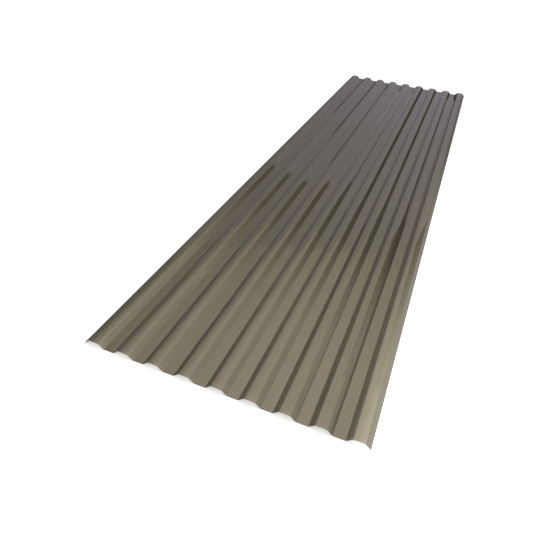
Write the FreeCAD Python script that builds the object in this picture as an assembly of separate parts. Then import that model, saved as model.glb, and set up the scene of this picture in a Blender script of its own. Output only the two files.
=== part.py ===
"""Corrugated polycarbonate roofing sheet, lying flat with its valleys on the floor.

One extruded and thermoformed sheet of even thickness. Nine ribs run along the length, each with a
crown that is nearly flat, round shoulders and two sloping webs, and flat valleys lie between them
with tight bends at their corners. The long edges are trimmed at the foot of the outer ribs, so that
one sheet's outer rib laps over the next sheet's, and the ends are sawn square.

Millimetres. +X runs across the ribs, +Y along them, +Z up. The origin is on the floor, under the
middle of the sheet.
"""

import FreeCAD
import Part
import math
import os

# ---- the sheet as it is sold -------------------------------------------------------------------
sheet_length = 2438.4      # 96 in
sheet_width = 660.4        # 26 in over both trimmed edges
sheet_thickness = 0.8      # 1/32 in, even all over

# ---- the corrugation ---------------------------------------------------------------------------
rib_pitch = 76.2           # 3 in from crown to crown
rib_height = 13.0          # from the valley's underside to the top of the crown
valley_flat = 25.0         # the straight part of each valley's floor
web_angle = 43.0           # degrees, between a web and the valley floor
valley_bend_radius = 1.6   # at the middle of the wall, where a valley turns up into a web
shoulder_radius = 5.0      # at the middle of the wall, where a web turns over into the crown
crown_edge_angle = 6.0     # degrees, the crown's slope where the shoulder begins

# ---- what follows from those -------------------------------------------------------------------
pitches = math.floor(sheet_width / rib_pitch)       # whole pitches between the two outer crowns
half_wall = sheet_thickness / 2
web = math.radians(web_angle)
crown_edge = math.radians(crown_edge_angle)


def crown_and_web():
    """The crown's radius and the web's straight length, at the middle of the wall, which close half a
    pitch: what is left across and up, once the valley and the two bends are taken, is theirs."""
    across = (rib_pitch / 2 - valley_flat / 2
              - valley_bend_radius * math.sin(web)
              - shoulder_radius * (math.sin(web) - math.sin(crown_edge)))
    up = (rib_height - sheet_thickness
          - valley_bend_radius * (1 - math.cos(web))
          - shoulder_radius * (math.cos(crown_edge) - math.cos(web)))
    # across = web_length cos(web) + crown_radius sin(crown_edge)
    # up     = web_length sin(web) + crown_radius (1 - cos(crown_edge))
    determinant = (math.cos(web) * (1 - math.cos(crown_edge))
                   - math.sin(web) * math.sin(crown_edge))
    web_length = (across * (1 - math.cos(crown_edge)) - up * math.sin(crown_edge)) / determinant
    crown_radius = (up * math.cos(web) - across * math.sin(web)) / determinant
    return crown_radius, web_length


def one_pitch(crown_radius, web_length):
    """The wall's course from the middle of one valley to the middle of the next, as runs of
    (straight length, None) and (radius, turn in radians). A turn to the left is positive."""
    return [
        (valley_flat / 2, None),
        (valley_bend_radius, web),
        (web_length, None),
        (shoulder_radius, crown_edge - web),
        (crown_radius, -2 * crown_edge),
        (shoulder_radius, crown_edge - web),
        (web_length, None),
        (valley_bend_radius, web),
        (valley_flat / 2, None),
    ]


def face_edges(course, start_x, offset):
    """Edges of one face of the wall, which lies offset above the middle of the wall. Each run of the
    course keeps its turn, and its radius grows or shrinks by the offset."""
    x, z, heading = start_x, half_wall + offset, 0.0
    edges = []
    for size, turn in course:
        begin = FreeCAD.Vector(x, 0, z)
        if turn is None:
            x += size * math.cos(heading)
            z += size * math.sin(heading)
            edges.append(Part.LineSegment(begin, FreeCAD.Vector(x, 0, z)).toShape())
            continue
        side = math.copysign(1.0, turn)
        radius = size - side * offset
        centre_x = x - side * radius * math.sin(heading)
        centre_z = z + side * radius * math.cos(heading)

        def on_arc(angle):
            return FreeCAD.Vector(centre_x + side * radius * math.sin(angle), 0,
                                  centre_z - side * radius * math.cos(angle))

        middle, end = on_arc(heading + turn / 2), on_arc(heading + turn)
        edges.append(Part.Arc(begin, middle, end).toShape())
        heading += turn
        x, z = end.x, end.z
    return edges


def corrugated_strip():
    """The whole corrugation at full length, one pitch wider than needed at each side."""
    course = one_pitch(*crown_and_web()) * (pitches + 3)
    start_x = -rib_pitch * (pitches + 3) / 2
    top = face_edges(course, start_x, half_wall)
    underside = face_edges(course, start_x, -half_wall)
    left = Part.LineSegment(underside[0].Vertexes[0].Point, top[0].Vertexes[0].Point).toShape()
    right = Part.LineSegment(top[-1].Vertexes[-1].Point, underside[-1].Vertexes[-1].Point).toShape()
    section = Part.Face(Part.Wire(underside + [right] + top[::-1] + [left]))
    section.translate(FreeCAD.Vector(0, -sheet_length / 2, 0))
    return section.extrude(FreeCAD.Vector(0, sheet_length, 0))


def sheet():
    """The strip with its long edges trimmed to the sheet's width."""
    trim = Part.makeBox(sheet_width, sheet_length, rib_height)
    trim.translate(FreeCAD.Vector(-sheet_width / 2, -sheet_length / 2, 0))
    return corrugated_strip().common(trim).Solids[0]


os.makedirs("parts", exist_ok=True)
corrugated_sheet = sheet()
corrugated_sheet.exportStep("parts/corrugated_sheet.step")

crown_radius, web_length = crown_and_web()
print("ribs", pitches + 1, "crown radius", round(crown_radius, 2), "web length", round(web_length, 2))
print("valid", corrugated_sheet.isValid(), "volume in litres", round(corrugated_sheet.Volume / 1e6, 4),
      "box", corrugated_sheet.BoundBox)
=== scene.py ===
"""Corrugated polycarbonate roofing sheet, smoked grey, lying flat on a pale studio floor.

Metres, in the same frame as the CAD model: +X across the ribs, +Y along them, +Z up, with the origin
on the floor under the middle of the sheet.
"""

import math

import bpy
from mathutils import Matrix, Vector


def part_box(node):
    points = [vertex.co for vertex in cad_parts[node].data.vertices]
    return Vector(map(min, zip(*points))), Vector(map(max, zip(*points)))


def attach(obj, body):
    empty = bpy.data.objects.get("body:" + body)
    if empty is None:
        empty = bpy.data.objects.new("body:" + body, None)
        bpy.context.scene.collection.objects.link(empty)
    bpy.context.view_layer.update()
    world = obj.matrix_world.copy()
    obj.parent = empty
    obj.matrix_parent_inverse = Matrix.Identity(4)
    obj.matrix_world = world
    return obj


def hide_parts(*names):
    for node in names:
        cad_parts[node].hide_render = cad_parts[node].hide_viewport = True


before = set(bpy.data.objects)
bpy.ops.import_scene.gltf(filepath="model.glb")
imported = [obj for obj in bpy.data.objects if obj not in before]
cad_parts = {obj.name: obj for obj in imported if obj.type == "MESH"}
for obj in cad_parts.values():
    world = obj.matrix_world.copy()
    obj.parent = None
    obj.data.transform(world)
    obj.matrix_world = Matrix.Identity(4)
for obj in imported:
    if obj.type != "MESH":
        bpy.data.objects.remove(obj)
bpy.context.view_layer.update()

# ------------------------------------------------------------------------------------------------
# The sheet
#
# One sheet of smoked grey polycarbonate, extruded flat and formed while it is soft into ribs with
# nearly flat crowns and round shoulders, and flat valleys between them. Its long edges are trimmed
# at the foot of the outer ribs and its ends are sawn. It lies loose on the floor.
# ------------------------------------------------------------------------------------------------

MM = 0.001

sheet_low, sheet_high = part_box("corrugated_sheet")
sheet_length = sheet_high.y - sheet_low.y
sheet_width = sheet_high.x - sheet_low.x
rib_height = sheet_high.z - sheet_low.z
sheet_thickness = 0.8 * MM
rib_pitch = 76.2 * MM
valley_flat = 25.0 * MM
web_angle = math.radians(43.0)
valley_bend_radius = 1.6 * MM
shoulder_radius = 5.0 * MM
crown_edge_angle = math.radians(6.0)

trim_allowance = 0.12 * MM
point_spacing = 0.4 * MM
length_steps = 12


def crown_and_web():
    """The crown's radius and the web's straight length, at the middle of the wall, which close half a
    pitch once the valley and the two bends have had their share of it."""
    across = (rib_pitch / 2 - valley_flat / 2
              - valley_bend_radius * math.sin(web_angle)
              - shoulder_radius * (math.sin(web_angle) - math.sin(crown_edge_angle)))
    up = (rib_height - sheet_thickness
          - valley_bend_radius * (1 - math.cos(web_angle))
          - shoulder_radius * (math.cos(crown_edge_angle) - math.cos(web_angle)))
    crown_drop = 1 - math.cos(crown_edge_angle)
    crown_reach = math.sin(crown_edge_angle)
    determinant = math.cos(web_angle) * crown_drop - math.sin(web_angle) * crown_reach
    web = (across * crown_drop - up * crown_reach) / determinant
    crown = (up * math.cos(web_angle) - across * math.sin(web_angle)) / determinant
    return crown, web


def add(tree, kind, inputs={}, **settings):
    """Adds a node with its settings and its inputs, each given by name or place. A node that is given
    as an input stands for its first output."""
    made = tree.nodes.new(kind)
    for name, value in settings.items():
        setattr(made, name, value)
    for name, value in inputs.items():
        if isinstance(value, bpy.types.Node):
            value = value.outputs[0]
        if isinstance(value, bpy.types.NodeSocket):
            tree.links.new(value, made.inputs[name])
        else:
            made.inputs[name].default_value = value
    return made


def linear(code, alpha=1.0):
    """A colour in sRGB hex as the linear values that nodes take."""
    parts = [int(code[i:i + 2], 16) / 255 for i in (0, 2, 4)]
    return [c / 12.92 if c <= 0.04045 else ((c + 0.055) / 1.055) ** 2.4 for c in parts] + [alpha]


def smoked_polycarbonate():
    """Polycarbonate, extruded, dyed smoked grey all through: square on, it lets about four tenths of
    the light through, browner than grey, and less where it is crossed at a slant. Both faces shine,
    and fine lines from the die run along it."""
    material = bpy.data.materials.new("smoked_polycarbonate")
    material.use_nodes = True
    tree = material.node_tree
    tree.nodes.clear()
    place = add(tree, "ShaderNodeTexCoord").outputs["Object"]

    # die lines 4 mm apart, coarser than the real ones so that they show, and 1.5 m long
    line_spacing, line_length = 4 * MM, 1500 * MM
    stretched = add(tree, "ShaderNodeMapping",
                    {"Vector": place, "Scale": (1 / line_spacing, 1 / line_length, 0.0)})
    die_lines = add(tree, "ShaderNodeTexNoise",
                    {"Vector": stretched, "Scale": 1.0, "Detail": 2.0, "Roughness": 0.6})
    # broad, faint bands where the melt took the dye unevenly
    band_width, band_length = 60 * MM, 900 * MM
    banded = add(tree, "ShaderNodeMapping",
                 {"Vector": place, "Scale": (1 / band_width, 1 / band_length, 0.0)})
    melt = add(tree, "ShaderNodeTexNoise", {"Vector": banded, "Scale": 1.0, "Detail": 1.0})

    # what each face of the wall lets through, so that the wall lets through the square of it
    streak = add(tree, "ShaderNodeMix", {0: die_lines, 6: linear("CECAC0"), 7: linear("D8D4CA")},
                 data_type="RGBA")
    cloud = add(tree, "ShaderNodeMix", {0: melt, 6: linear("FFFAF9"), 7: linear("F6FBF4")},
                data_type="RGBA")
    tint = add(tree, "ShaderNodeMix", {0: 1.0, 6: streak.outputs[2], 7: cloud.outputs[2]},
               data_type="RGBA", blend_type="MULTIPLY")
    slant = add(tree, "ShaderNodeLayerWeight", {"Blend": 0.5}).outputs["Facing"]
    passed = add(tree, "ShaderNodeMix",
                 {0: slant, 6: tint.outputs[2], 7: linear("63605B")}, data_type="RGBA")
    clear = add(tree, "ShaderNodeBsdfTransparent", {"Color": passed.outputs[2]})

    # a ray mirrors only where it comes into the wall, by 1.7 times one face's gloss, for both faces
    ripple = add(tree, "ShaderNodeBump",
                 {"Strength": 0.25, "Distance": 0.1 * MM, "Height": die_lines.outputs[0]})
    shine = add(tree, "ShaderNodeBsdfGlossy",
                {"Color": (1.0, 1.0, 1.0, 1.0), "Roughness": 0.04, "Normal": ripple})
    mirrored = add(tree, "ShaderNodeFresnel", {"IOR": 1.585})
    both_faces = add(tree, "ShaderNodeMath", {0: mirrored, 1: 1.7}, operation="MULTIPLY",
                     use_clamp=True)
    outside = add(tree, "ShaderNodeMath",
                  {0: 1.0, 1: add(tree, "ShaderNodeNewGeometry").outputs["Backfacing"]},
                  operation="SUBTRACT")
    share = add(tree, "ShaderNodeMath", {0: both_faces, 1: outside}, operation="MULTIPLY")
    wall = add(tree, "ShaderNodeMixShader", {0: share, 1: clear, 2: shine})
    add(tree, "ShaderNodeOutputMaterial", {"Surface": wall})
    return material


def corrugation_tree():
    """Bends the section of the wall from its developed width and runs it along the sheet."""
    tree = bpy.data.node_groups.new("corrugation", "GeometryNodeTree")
    sockets = tree.interface
    for name in ("Length", "Width", "Developed Width", "Rib Pitch", "Thickness", "Valley Flat",
                 "Web Angle", "Web Length", "Crown Edge Angle", "Valley Bend Radius",
                 "Shoulder Radius", "Crown Radius"):
        sockets.new_socket(name, in_out="INPUT", socket_type="NodeSocketFloat")
    for name in ("Face Points", "Length Steps"):
        sockets.new_socket(name, in_out="INPUT", socket_type="NodeSocketInt")
    sockets.new_socket("Material", in_out="INPUT", socket_type="NodeSocketMaterial")
    sockets.new_socket("Geometry", in_out="OUTPUT", socket_type="NodeSocketGeometry")
    given = add(tree, "NodeGroupInput").outputs
    maths = "ShaderNodeMath"

    # the turn and the run of each stretch, from the middle of a valley to the middle of a crown
    half_flat = add(tree, maths, {0: given["Valley Flat"], 1: 0.5}, operation="MULTIPLY")
    bend_run = add(tree, maths, {0: given["Valley Bend Radius"], 1: given["Web Angle"]},
                   operation="MULTIPLY")
    shoulder_turn = add(tree, maths, {0: given["Web Angle"], 1: given["Crown Edge Angle"]},
                        operation="SUBTRACT")
    shoulder_run = add(tree, maths, {0: given["Shoulder Radius"], 1: shoulder_turn},
                       operation="MULTIPLY")
    crown_run = add(tree, maths, {0: given["Crown Radius"], 1: given["Crown Edge Angle"]},
                    operation="MULTIPLY")
    web_start = add(tree, maths, {0: half_flat, 1: bend_run}, operation="ADD")
    web_end = add(tree, maths, {0: web_start, 1: given["Web Length"]}, operation="ADD")
    crown_start = add(tree, maths, {0: web_end, 1: shoulder_run}, operation="ADD")
    half_pitch_run = add(tree, maths, {0: crown_start, 1: crown_run}, operation="ADD")
    pitch_run = add(tree, maths, {0: half_pitch_run, 1: 2.0}, operation="MULTIPLY")

    # points go left to right over the top face, then right to left over the underside
    index = add(tree, "GeometryNodeInputIndex")
    loop_points = add(tree, maths, {0: given["Face Points"], 1: 2.0}, operation="MULTIPLY")
    last_point = add(tree, maths, {0: loop_points, 1: 1.0}, operation="SUBTRACT")
    mirrored = add(tree, maths, {0: last_point, 1: index}, operation="SUBTRACT")
    from_left = add(tree, maths, {0: index, 1: mirrored}, operation="MINIMUM")
    is_top = add(tree, maths, {0: index, 1: given["Face Points"]}, operation="LESS_THAN")
    top_or_under = add(tree, maths, {0: is_top, 1: 0.5}, operation="SUBTRACT")
    offset = add(tree, maths, {0: top_or_under, 1: given["Thickness"]}, operation="MULTIPLY")
    last_step = add(tree, maths, {0: given["Face Points"], 1: 1.0}, operation="SUBTRACT")
    share = add(tree, maths, {0: from_left, 1: last_step}, operation="DIVIDE")
    centred = add(tree, maths, {0: share, 1: 0.5}, operation="SUBTRACT")
    run = add(tree, maths, {0: centred, 1: given["Developed Width"]}, operation="MULTIPLY")

    # which rib the point is on, which side of it, and how far it is from the valley's middle
    ribs_off = add(tree, maths, {0: run, 1: pitch_run}, operation="DIVIDE")
    rib = add(tree, maths, {0: ribs_off}, operation="ROUND")
    beside = add(tree, maths, {0: ribs_off, 1: rib}, operation="SUBTRACT")
    side = add(tree, maths, {0: beside}, operation="SIGN")
    from_crown = add(tree, maths, {0: run, 1: half_pitch_run}, operation="PINGPONG")
    from_valley = add(tree, maths, {0: half_pitch_run, 1: from_crown}, operation="SUBTRACT")

    # how far along each stretch the point has come
    on_flat = add(tree, maths, {0: from_valley, 1: half_flat}, operation="MINIMUM")
    past_flat = add(tree, maths, {0: from_valley, 1: half_flat}, operation="SUBTRACT")
    bend = add(tree, maths, {0: past_flat, 1: given["Valley Bend Radius"]}, operation="DIVIDE")
    bend_turn = add(tree, "ShaderNodeClamp", {0: bend, 1: 0.0, 2: given["Web Angle"]})
    past_bend = add(tree, maths, {0: from_valley, 1: web_start}, operation="SUBTRACT")
    on_web = add(tree, "ShaderNodeClamp", {0: past_bend, 1: 0.0, 2: given["Web Length"]})
    past_web = add(tree, maths, {0: from_valley, 1: web_end}, operation="SUBTRACT")
    shoulder = add(tree, maths, {0: past_web, 1: given["Shoulder Radius"]}, operation="DIVIDE")
    turned_over = add(tree, "ShaderNodeClamp", {0: shoulder, 1: 0.0, 2: shoulder_turn})
    past_shoulder = add(tree, maths, {0: from_valley, 1: crown_start}, operation="SUBTRACT")
    crown = add(tree, maths, {0: past_shoulder, 1: given["Crown Radius"]}, operation="DIVIDE")
    crown_turn = add(tree, "ShaderNodeClamp", {0: crown, 1: 0.0, 2: given["Crown Edge Angle"]})
    shoulder_slope = add(tree, maths, {0: given["Web Angle"], 1: turned_over}, operation="SUBTRACT")
    crown_slope = add(tree, maths, {0: given["Crown Edge Angle"], 1: crown_turn},
                      operation="SUBTRACT")

    # across: flat + r sin(bend) + web cos + r (sin web - sin slope) + R (sin edge - sin slope)
    # up:     r (1 - cos bend) + web sin + r (cos slope - cos web) + R (cos slope - cos edge)
    sines, cosines = {}, {}
    for name, angle in (("bend", bend_turn), ("web", given["Web Angle"]),
                        ("shoulder", shoulder_slope), ("edge", given["Crown Edge Angle"]),
                        ("crown", crown_slope)):
        sines[name] = add(tree, maths, {0: angle}, operation="SINE")
        cosines[name] = add(tree, maths, {0: angle}, operation="COSINE")
    over_shoulder = add(tree, maths, {0: sines["web"], 1: sines["shoulder"]}, operation="SUBTRACT")
    over_crown = add(tree, maths, {0: sines["edge"], 1: sines["crown"]}, operation="SUBTRACT")
    across = add(tree, maths, {0: given["Valley Bend Radius"], 1: sines["bend"], 2: on_flat},
                 operation="MULTIPLY_ADD")
    across = add(tree, maths, {0: on_web, 1: cosines["web"], 2: across}, operation="MULTIPLY_ADD")
    across = add(tree, maths, {0: given["Shoulder Radius"], 1: over_shoulder, 2: across},
                 operation="MULTIPLY_ADD")
    across = add(tree, maths, {0: given["Crown Radius"], 1: over_crown, 2: across},
                 operation="MULTIPLY_ADD")
    up_bend = add(tree, maths, {0: 1.0, 1: cosines["bend"]}, operation="SUBTRACT")
    up_shoulder = add(tree, maths, {0: cosines["shoulder"], 1: cosines["web"]},
                      operation="SUBTRACT")
    up_crown = add(tree, maths, {0: cosines["crown"], 1: cosines["edge"]}, operation="SUBTRACT")
    half_wall = add(tree, maths, {0: given["Thickness"], 1: 0.5}, operation="MULTIPLY")
    up = add(tree, maths, {0: given["Valley Bend Radius"], 1: up_bend, 2: half_wall},
             operation="MULTIPLY_ADD")
    up = add(tree, maths, {0: on_web, 1: sines["web"], 2: up}, operation="MULTIPLY_ADD")
    up = add(tree, maths, {0: given["Shoulder Radius"], 1: up_shoulder, 2: up},
             operation="MULTIPLY_ADD")
    up = add(tree, maths, {0: given["Crown Radius"], 1: up_crown, 2: up}, operation="MULTIPLY_ADD")

    # the face lies half a wall to one side of the middle, square to the slope there
    slope = add(tree, maths, {0: bend_turn, 1: turned_over}, operation="SUBTRACT")
    slope = add(tree, maths, {0: slope, 1: crown_turn}, operation="SUBTRACT")
    lean = add(tree, maths, {0: slope}, operation="SINE")
    rise = add(tree, maths, {0: slope}, operation="COSINE")
    sideways = add(tree, maths, {0: offset, 1: lean}, operation="MULTIPLY")
    face_across = add(tree, maths, {0: across, 1: sideways}, operation="SUBTRACT")
    face_up = add(tree, maths, {0: offset, 1: rise, 2: up}, operation="MULTIPLY_ADD")
    half_pitch = add(tree, maths, {0: given["Rib Pitch"], 1: 0.5}, operation="MULTIPLY")
    from_rib = add(tree, maths, {0: half_pitch, 1: face_across}, operation="SUBTRACT")
    beside_rib = add(tree, maths, {0: from_rib, 1: side}, operation="MULTIPLY")
    x = add(tree, maths, {0: rib, 1: given["Rib Pitch"], 2: beside_rib}, operation="MULTIPLY_ADD")
    left_trim = add(tree, maths, {0: given["Width"], 1: -0.5}, operation="MULTIPLY")
    right_trim = add(tree, maths, {0: given["Width"], 1: 0.5}, operation="MULTIPLY")
    trimmed = add(tree, "ShaderNodeClamp", {0: x, 1: left_trim, 2: right_trim})
    start = add(tree, maths, {0: given["Length"], 1: -0.5}, operation="MULTIPLY")
    at = add(tree, "ShaderNodeCombineXYZ", {0: trimmed, 1: start, 2: face_up})
    outline = add(tree, "GeometryNodeMeshCircle", {"Vertices": loop_points}, fill_type="NGON")
    near_end = add(tree, "GeometryNodeSetPosition", {"Geometry": outline, "Position": at})

    # the long faces: a grid whose columns go round the outline and whose rows run along the sheet
    columns = add(tree, maths, {0: loop_points, 1: 1.0}, operation="ADD")
    rows = add(tree, maths, {0: given["Length Steps"], 1: 1.0}, operation="ADD")
    grid = add(tree, "GeometryNodeMeshGrid", {"Vertices X": columns, "Vertices Y": rows})
    column_exact = add(tree, maths, {0: index, 1: rows}, operation="DIVIDE")
    column = add(tree, maths, {0: column_exact}, operation="FLOOR")
    wrapped = add(tree, maths, {0: column, 1: loop_points}, operation="FLOORED_MODULO")
    before = add(tree, maths, {0: column, 1: rows}, operation="MULTIPLY")
    row = add(tree, maths, {0: index, 1: before}, operation="SUBTRACT")
    along = add(tree, maths, {0: row, 1: given["Length Steps"]}, operation="DIVIDE")
    y = add(tree, maths, {0: along, 1: given["Length"]}, operation="MULTIPLY")
    ahead = add(tree, "ShaderNodeCombineXYZ", {1: y})
    around = add(tree, "GeometryNodeSampleIndex",
                 {"Geometry": near_end, "Value": add(tree, "GeometryNodeInputPosition"),
                  "Index": wrapped},
                 data_type="FLOAT_VECTOR", domain="POINT")
    on_wall = add(tree, "ShaderNodeVectorMath", {0: around, 1: ahead}, operation="ADD")
    long_faces = add(tree, "GeometryNodeSetPosition", {"Geometry": grid, "Position": on_wall})

    # the two sawn ends close it
    whole_length = add(tree, "ShaderNodeCombineXYZ", {1: given["Length"]})
    far_end = add(tree, "GeometryNodeTransform", {"Geometry": near_end, "Translation": whole_length})
    near_facing = add(tree, "GeometryNodeFlipFaces", {0: near_end})
    parts = add(tree, "GeometryNodeJoinGeometry")
    for piece in (long_faces, near_facing, far_end):
        tree.links.new(piece.outputs[0], parts.inputs[0])
    seam_gap = 0.01 * MM
    closed = add(tree, "GeometryNodeMergeByDistance", {"Geometry": parts, "Distance": seam_gap})

    # round stretches are smooth, and the sawn and trimmed edges stay sharp
    smooth = add(tree, "GeometryNodeSetShadeSmooth", {"Geometry": closed}, domain="FACE")
    fold = add(tree, "GeometryNodeInputMeshEdgeAngle")
    sharpest_bend = math.radians(40)
    is_cut = add(tree, maths, {0: fold, 1: sharpest_bend}, operation="GREATER_THAN")
    crisp = add(tree, "GeometryNodeSetShadeSmooth",
                {"Geometry": smooth, "Selection": is_cut, "Shade Smooth": False}, domain="EDGE")
    real = add(tree, "GeometryNodeRealizeInstances", {0: crisp})
    finished = add(tree, "GeometryNodeSetMaterial", {0: real, "Material": given["Material"]})
    add(tree, "NodeGroupOutput", {0: finished})
    return tree


def formed_sheet():
    """The sheet as a plain mesh, run out by the tree above."""
    crown_radius, web_length = crown_and_web()
    half_pitch_run = (valley_flat / 2 + valley_bend_radius * web_angle + web_length
                      + shoulder_radius * (web_angle - crown_edge_angle)
                      + crown_radius * crown_edge_angle)
    # each rib gains this much over its width, and a little is left over for the trim to take off
    ribs = math.floor(sheet_width / rib_pitch) + 1
    gain = 2 * half_pitch_run - rib_pitch
    developed_width = sheet_width + ribs * gain + trim_allowance
    sizes = {
        "Length": sheet_length, "Width": sheet_width, "Developed Width": developed_width,
        "Rib Pitch": rib_pitch, "Thickness": sheet_thickness, "Valley Flat": valley_flat,
        "Web Angle": web_angle, "Web Length": web_length, "Crown Edge Angle": crown_edge_angle,
        "Valley Bend Radius": valley_bend_radius, "Shoulder Radius": shoulder_radius,
        "Crown Radius": crown_radius, "Face Points": round(developed_width / point_spacing),
        "Length Steps": length_steps, "Material": smoked_polycarbonate(),
    }
    blank = bpy.data.objects.new("blank", bpy.data.meshes.new("blank"))
    bpy.context.scene.collection.objects.link(blank)
    forming = blank.modifiers.new("forming", "NODES")
    forming.node_group = corrugation_tree()
    for socket in forming.node_group.interface.items_tree:
        if socket.in_out == "INPUT":
            forming[socket.identifier] = sizes[socket.name]
    shaped = blank.evaluated_get(bpy.context.evaluated_depsgraph_get())
    mesh = bpy.data.meshes.new_from_object(shaped)
    blank.modifiers.remove(forming)
    bpy.data.objects.remove(blank)
    mesh.name = "formed_sheet"
    sheet = bpy.data.objects.new("formed_sheet", mesh)
    bpy.context.scene.collection.objects.link(sheet)
    return sheet


sheet = formed_sheet()
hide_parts("corrugated_sheet")
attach(sheet, "root")

# ------------------------------------------------------------------------------------------------
# The floor
#
# A matt white floor that runs out of sight. It is painted a little brighter under the sheet's right
# edge, for the light that gets in beneath the edge of a real sheet, which doesn't lie dead flat.
# ------------------------------------------------------------------------------------------------

scene = bpy.context.scene


def studio_material(name, shader):
    """A material whose surface is made by shader(tree)."""
    material = bpy.data.materials.new(name)
    material.use_nodes = True
    material.node_tree.nodes.clear()
    tree = material.node_tree
    add(tree, "ShaderNodeOutputMaterial", {"Surface": shader(tree)})
    return material


def graded(tree, axis, start, end, low, high):
    """A value that runs from low to high between two places along an axis."""
    place = add(tree, "ShaderNodeTexCoord").outputs["Object"]
    along = add(tree, "ShaderNodeSeparateXYZ", {0: place}).outputs[axis]
    return add(tree, "ShaderNodeMapRange", {0: along, 1: start, 2: end, 3: low, 4: high})


def white_floor_paint(tree):
    """Matt white. What the camera, a gloss or glass sees directly is lifted to full white, and more
    so beneath the right edge and towards the near end."""
    matt = add(tree, "ShaderNodeBsdfDiffuse", {"Color": linear("F2F2F2")})
    ray = add(tree, "ShaderNodeLightPath").outputs
    seen = add(tree, "ShaderNodeMath", {0: ray["Is Camera Ray"], 1: ray["Is Glossy Ray"]},
               operation="MAXIMUM")
    seen = add(tree, "ShaderNodeMath", {0: seen, 1: ray["Is Transmission Ray"]},
               operation="MAXIMUM")
    at_edge = add(tree, "ShaderNodeMath", {0: graded(tree, "X", 0.285, 0.33, 0.0, 1.0),
                                           1: graded(tree, "Y", -1.2, 0.6, 1.1, 0.0)},
                  operation="MULTIPLY")
    glow_there = add(tree, "ShaderNodeMath", {0: at_edge, 1: 0.28}, operation="ADD")
    lift = add(tree, "ShaderNodeMath", {0: seen, 1: glow_there}, operation="MULTIPLY")
    glow = add(tree, "ShaderNodeEmission", {"Color": linear("FFFFFF"), "Strength": lift})
    return add(tree, "ShaderNodeAddShader", {0: matt, 1: glow})


def flat_piece(name, corners, material):
    """A flat piece of the studio."""
    mesh = bpy.data.meshes.new(name)
    mesh.from_pydata(corners, [], [range(len(corners))])
    mesh.materials.append(material)
    piece = bpy.data.objects.new(name, mesh)
    scene.collection.objects.link(piece)
    return piece


def level_piece(name, left, right, near, far, height, material):
    """A flat piece that lies level, its four sides given."""
    return flat_piece(name, [(left, near, height), (right, near, height),
                             (right, far, height), (left, far, height)], material)


floor_reach = 40.0
floor_drop = 0.2 * MM
level_piece("floor", -floor_reach, floor_reach, -floor_reach, floor_reach, -floor_drop,
            studio_material("white_floor", white_floor_paint))

# ------------------------------------------------------------------------------------------------
# The card and the flag
#
# A big grey card stands ahead of the sheet, and a dark flag stands behind it and beside it. Nothing
# but the gloss of the sheet sees them: flats mirror the card, and steep webs the flag.
# ------------------------------------------------------------------------------------------------


def only_mirrored(piece):
    """The gloss sees this piece, and nothing else does."""
    piece.visible_camera = False
    piece.visible_diffuse = False
    piece.visible_shadow = False
    piece.visible_transmission = False
    piece.visible_volume_scatter = False


def light_material(name, code, strength):
    """A studio material that gives off one colour, as strongly as strength(tree) says."""
    return studio_material(name, lambda tree: add(
        tree, "ShaderNodeEmission", {"Color": linear(code), "Strength": strength(tree)}))


def card_light(tree):
    """Cool grey low down, warmer and lighter at the top, and lighter towards its right."""
    colour = add(tree, "ShaderNodeMix", {0: graded(tree, "Z", 1.7, 4.6, 0.0, 1.0),
                                         6: linear("9A949A"), 7: linear("C0B8AE")},
                 data_type="RGBA")
    return add(tree, "ShaderNodeEmission",
               {"Color": colour.outputs[2], "Strength": graded(tree, "X", -3.0, 0.0, 0.72, 1.2)})


def flag_strength(tree):
    """Nearly black beside the card, and lighter the further out it is, to the right and upwards."""
    place = add(tree, "ShaderNodeTexCoord").outputs["Object"]
    upright = add(tree, "ShaderNodeVectorMath", {0: place, 1: (1.0, 0.0, 1.0)},
                  operation="MULTIPLY")
    outward = add(tree, "ShaderNodeVectorMath", {0: upright}, operation="LENGTH").outputs["Value"]
    return add(tree, "ShaderNodeMapRange", {0: outward, 1: 5.1, 2: 8.0, 3: 0.07, 4: 0.85})


warm_light = "FFF2D8"
pale_light = "FFF8EC"
card_distance = 6.6
card_left = -6.0
card_round = 3.95
card_outline = [(card_left, 1.28), (-0.45, 1.28), (0.1, 0.0), (3.3, 1.4)]
card_outline += [(card_round * math.cos(math.radians(a)), card_round * math.sin(math.radians(a)))
                 for a in range(34, 81, 8)]
card_outline += [(0.3, 4.3), (-0.18, 4.72), (card_left, 6.08)]
flag_distance = card_distance + 0.3
flag_outline = [(0.35, -0.1), (16.0, -0.1), (16.0, 9.0), (0.35, 9.0)]

only_mirrored(flat_piece("grey_card", [(x, card_distance, z) for x, z in card_outline],
                         studio_material("grey_card", card_light)))
only_mirrored(flat_piece("dark_flag", [(x, flag_distance, z) for x, z in flag_outline],
                         light_material("dark_flag", warm_light, flag_strength)))

# ------------------------------------------------------------------------------------------------
# The ceiling and the walls
#
# A warm white ceiling, dimmer to the left and towards the far end, and dark walls all round that
# turn grey on the far left. Only the gloss sees them: the sheet's near half mirrors the ceiling.
# ------------------------------------------------------------------------------------------------


def ceiling_strength(tree):
    sideways = graded(tree, "X", -11.4, -3.3, 0.1, 1.23)
    ahead = graded(tree, "Y", 9.8, 18.0, 1.05, 0.55)
    return add(tree, "ShaderNodeMath", {0: sideways, 1: ahead}, operation="MULTIPLY")


def wall_strength(tree):
    return graded(tree, "X", -14.0, -9.0, 0.3, 0.05)


ceiling_height = 12.0
ceiling_reach = 60.0
only_mirrored(level_piece("ceiling", -ceiling_reach, ceiling_reach, -ceiling_reach, ceiling_reach,
                          ceiling_height,
                          light_material("warm_ceiling", warm_light, ceiling_strength)))

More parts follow.
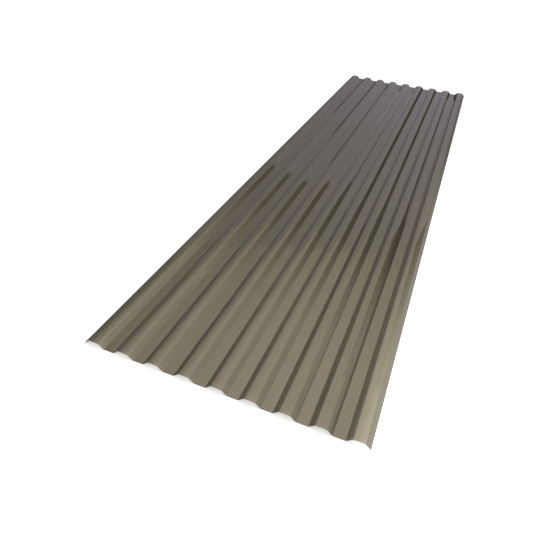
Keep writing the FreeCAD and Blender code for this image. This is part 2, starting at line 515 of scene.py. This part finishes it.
wall_distance = 18.5
wall_foot = -0.1
wall_pieces = 48
wall_paint = light_material("room_paint", pale_light, wall_strength)
wall_turn = 2 * math.pi / wall_pieces
wall_ring = [(wall_distance * math.sin(i * wall_turn), wall_distance * math.cos(i * wall_turn))
             for i in range(wall_pieces)]
for i in range(wall_pieces):
    last, this = wall_ring[i - 1], wall_ring[i]
    only_mirrored(flat_piece("room_wall_%d" % i,
                             [(*last, wall_foot), (*this, wall_foot),
                              (*this, ceiling_height), (*last, ceiling_height)], wall_paint))

# ------------------------------------------------------------------------------------------------
# The mats and the side board
#
# Low pieces close to the sheet, which only its gloss sees: a grey mat beyond the far end, a dark one
# along the left edge, and a low white board past the right edge, which the last rib's web mirrors.
# ------------------------------------------------------------------------------------------------

half_length = sheet_length / 2
half_width = sheet_width / 2
only_mirrored(level_piece("grey_mat", card_left, card_round, half_length, card_distance, 0.0,
                          light_material("grey_mat", "999397", lambda tree: 0.9)))
dark_mat_width = 0.4
only_mirrored(level_piece("dark_mat", -half_width - dark_mat_width, -half_width, -1.6, half_length,
                          0.0, light_material("dark_mat", warm_light, lambda tree: 0.12)))
board_place = 0.6
board_height = 0.04
board_near, board_far = -2.5, 3.0
only_mirrored(flat_piece("side_board",
                         [(board_place, board_near, 0.0), (board_place, board_near, board_height),
                          (board_place, board_far, board_height), (board_place, board_far, 0.0)],
                         light_material("side_board", pale_light,
                                        lambda tree: graded(tree, "Y", -0.8, 1.0, 0.9, 0.2))))

# ------------------------------------------------------------------------------------------------
# The light: even and white from all round, with no lamp
# ------------------------------------------------------------------------------------------------

world = bpy.data.worlds.new("even_light")
world.use_nodes = True
even_light = world.node_tree.nodes["Background"].inputs
even_light["Color"].default_value = linear("FFFFFF")
even_light["Strength"].default_value = 1.0
scene.world = world

# ------------------------------------------------------------------------------------------------
# The camera: above the near right corner, looking along the sheet and down, a little tilted
# ------------------------------------------------------------------------------------------------

camera_place = Vector((0.3003, -1.7897, 0.8170))
camera_aim = Vector((-0.0543, -0.7817, 0.0))
camera_roll = math.radians(4.29)

lens = bpy.data.cameras.new("camera")
lens.sensor_width = 36.0
lens.lens = 32.12
lens.clip_end = 200.0
camera = bpy.data.objects.new("camera", lens)
aim = (camera_aim - camera_place).to_track_quat("-Z", "Y").to_matrix().to_4x4()
camera.matrix_world = (Matrix.Translation(camera_place) @ aim
                       @ Matrix.Rotation(camera_roll, 4, "Z"))
scene.collection.objects.link(camera)
scene.camera = camera

scene.view_settings.view_transform = "Standard"
